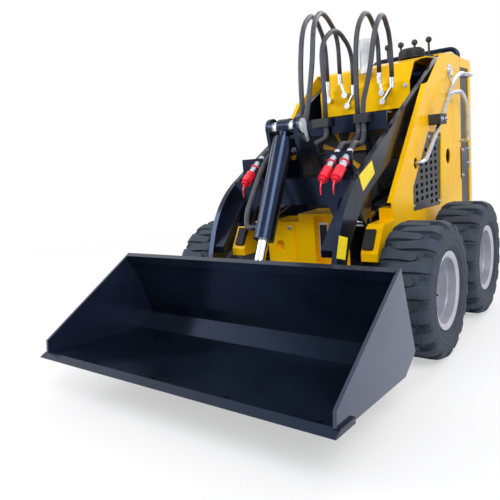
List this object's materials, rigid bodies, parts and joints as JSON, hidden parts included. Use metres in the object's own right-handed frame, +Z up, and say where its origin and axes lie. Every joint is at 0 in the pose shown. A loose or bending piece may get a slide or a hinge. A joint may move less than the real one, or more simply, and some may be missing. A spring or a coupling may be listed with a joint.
{
  "type": "mini loader",
  "caption": "Compact wheeled mini loader with a lift boom, a tilting bucket and a standing platform at the rear.",
  "frame": {"origin": "centre of the machine's length and width, on the ground under the wheels", "axes": "+Z up, the bucket points to -Y, the machine's left side is +X"},
  "size_m": [1.166, 2.3, 1.3916],
  "materials": {
    "bare_steel": "satin",
    "black_paint": "gloss",
    "black_plastic": "matte",
    "body_yellow_paint": "gloss",
    "cast_iron": "matte",
    "chrome": "polished",
    "hose_rubber": "satin",
    "red_plastic": "gloss",
    "rim_paint": "satin",
    "rubber": "matte",
    "tyre_rubber": "matte"
  },
  "bodies": {
    "chassis": {"chassis_frame": "black_paint", "front_tank": "body_yellow_paint", "arm_stops": "body_yellow_paint", "tower_left": "body_yellow_paint", "tower_right": "body_yellow_paint", "boom_pins": "bare_steel", "wheel_motors": "cast_iron", "front_panel": "body_yellow_paint", "engine_block": "cast_iron", "oil_cooler": "black_plastic", "engine_hood": "body_yellow_paint", "platform": "black_paint", "side_grilles": "black_plastic", "rear_side_plates": "black_paint", "stop_pads": "rubber", "hose_fittings": "bare_steel", "boom_hoses": "hose_rubber", "steel_tubes": "bare_steel", "tube_clamps": "black_plastic", "fan_guard": "black_paint", "air_intake": "black_plastic", "oil_filter": "black_plastic", "control_console": "black_plastic", "grab_rail": "black_paint"},
    "boom": {"arm_left": "black_paint", "arm_right": "black_paint", "lower_cross_member": "black_paint", "upper_cross_member": "black_paint", "tilt_bracket": "black_paint", "tilt_pin": "bare_steel", "hose_clamps": "black_plastic", "coupler_hoses": "hose_rubber", "quick_couplers": "bare_steel", "coupler_caps": "red_plastic"},
    "bucket": {"bucket_shell": "black_paint", "bucket_side_left": "black_paint", "bucket_side_right": "black_paint", "cutting_edge": "black_paint", "attach_plate": "black_paint", "bucket_hinge_pins": "bare_steel"},
    "tilt_barrel": {"tilt_cylinder_barrel": "black_paint", "tilt_hose": "hose_rubber"},
    "tilt_rod": {"tilt_cylinder_rod": "chrome"},
    "lift_barrel_left": {"lift_cylinder_barrel_left": "black_paint"},
    "lift_rod_left": {"lift_cylinder_rod_left": "chrome"},
    "lift_barrel_right": {"lift_cylinder_barrel_right": "black_paint"},
    "lift_rod_right": {"lift_cylinder_rod_right": "chrome"},
    "wheel_front_left": {"tyre_front_left": "tyre_rubber", "rim_front_left": "rim_paint"},
    "wheel_front_right": {"tyre_front_right": "tyre_rubber", "rim_front_right": "rim_paint"},
    "wheel_rear_left": {"tyre_rear_left": "tyre_rubber", "rim_rear_left": "rim_paint"},
    "wheel_rear_right": {"tyre_rear_right": "tyre_rubber", "rim_rear_right": "rim_paint"}
  },
  "joints": [
    {"name": "front_left_spin", "type": "hinge", "parent": "chassis", "child": "wheel_front_left", "pos_m": [0.471, -0.21, 0.254], "axis": [1, 0, 0], "continuous": true},
    {"name": "front_right_spin", "type": "hinge", "parent": "chassis", "child": "wheel_front_right", "pos_m": [-0.471, -0.21, 0.254], "axis": [1, 0, 0], "continuous": true},
    {"name": "rear_left_spin", "type": "hinge", "parent": "chassis", "child": "wheel_rear_left", "pos_m": [0.471, 0.37, 0.254], "axis": [1, 0, 0], "continuous": true},
    {"name": "rear_right_spin", "type": "hinge", "parent": "chassis", "child": "wheel_rear_right", "pos_m": [-0.471, 0.37, 0.254], "axis": [1, 0, 0], "continuous": true},
    {"name": "boom_lift", "type": "hinge", "parent": "chassis", "child": "boom", "pos_m": [0, 0.657, 1.117], "axis": [-1, 0, 0], "range_deg": [-4.5, 64], "deforming": ["boom_hoses"]},
    {"name": "bucket_tilt", "type": "hinge", "parent": "boom", "child": "bucket", "pos_m": [0, -0.55, 0.214], "axis": [-1, 0, 0], "range_deg": [-100, 15]},
    {"name": "tilt_swing", "type": "hinge", "parent": "boom", "child": "tilt_barrel", "pos_m": [0, -0.34, 0.891], "axis": [-1, 0, 0], "range_deg": [-3, 3], "deforming": ["tilt_hose"]},
    {"name": "tilt_stroke", "type": "slide", "parent": "tilt_barrel", "child": "tilt_rod", "axis": [0, -0.46, -0.8879], "range_m": [-0.05, 0.26]},
    {"name": "lift_swing_left", "type": "hinge", "parent": "chassis", "child": "lift_barrel_left", "pos_m": [0.238, 0.6, 0.62], "axis": [-1, 0, 0], "range_deg": [-6, 60]},
    {"name": "lift_stroke_left", "type": "slide", "parent": "lift_barrel_left", "child": "lift_rod_left", "axis": [0, -0.9908, -0.135], "range_m": [-0.05, 0.53]},
    {"name": "lift_swing_right", "type": "hinge", "parent": "chassis", "child": "lift_barrel_right", "pos_m": [-0.238, 0.6, 0.62], "axis": [-1, 0, 0], "range_deg": [-6, 60]},
    {"name": "lift_stroke_right", "type": "slide", "parent": "lift_barrel_right", "child": "lift_rod_right", "axis": [0, -0.9908, -0.135], "range_m": [-0.05, 0.53]}
  ],
  "couplings": [
    {"joint": "tilt_swing", "follows": "bucket_tilt", "ratio": 0.01},
    {"joint": "tilt_stroke", "follows": "bucket_tilt", "m_per_rad": -0.14037},
    {"joint": "lift_swing_left", "follows": "boom_lift", "ratio": 0.892},
    {"joint": "lift_stroke_left", "follows": "boom_lift", "m_per_rad": 0.46066},
    {"joint": "lift_swing_right", "follows": "boom_lift", "ratio": 0.892},
    {"joint": "lift_stroke_right", "follows": "boom_lift", "m_per_rad": 0.46066}
  ]
}
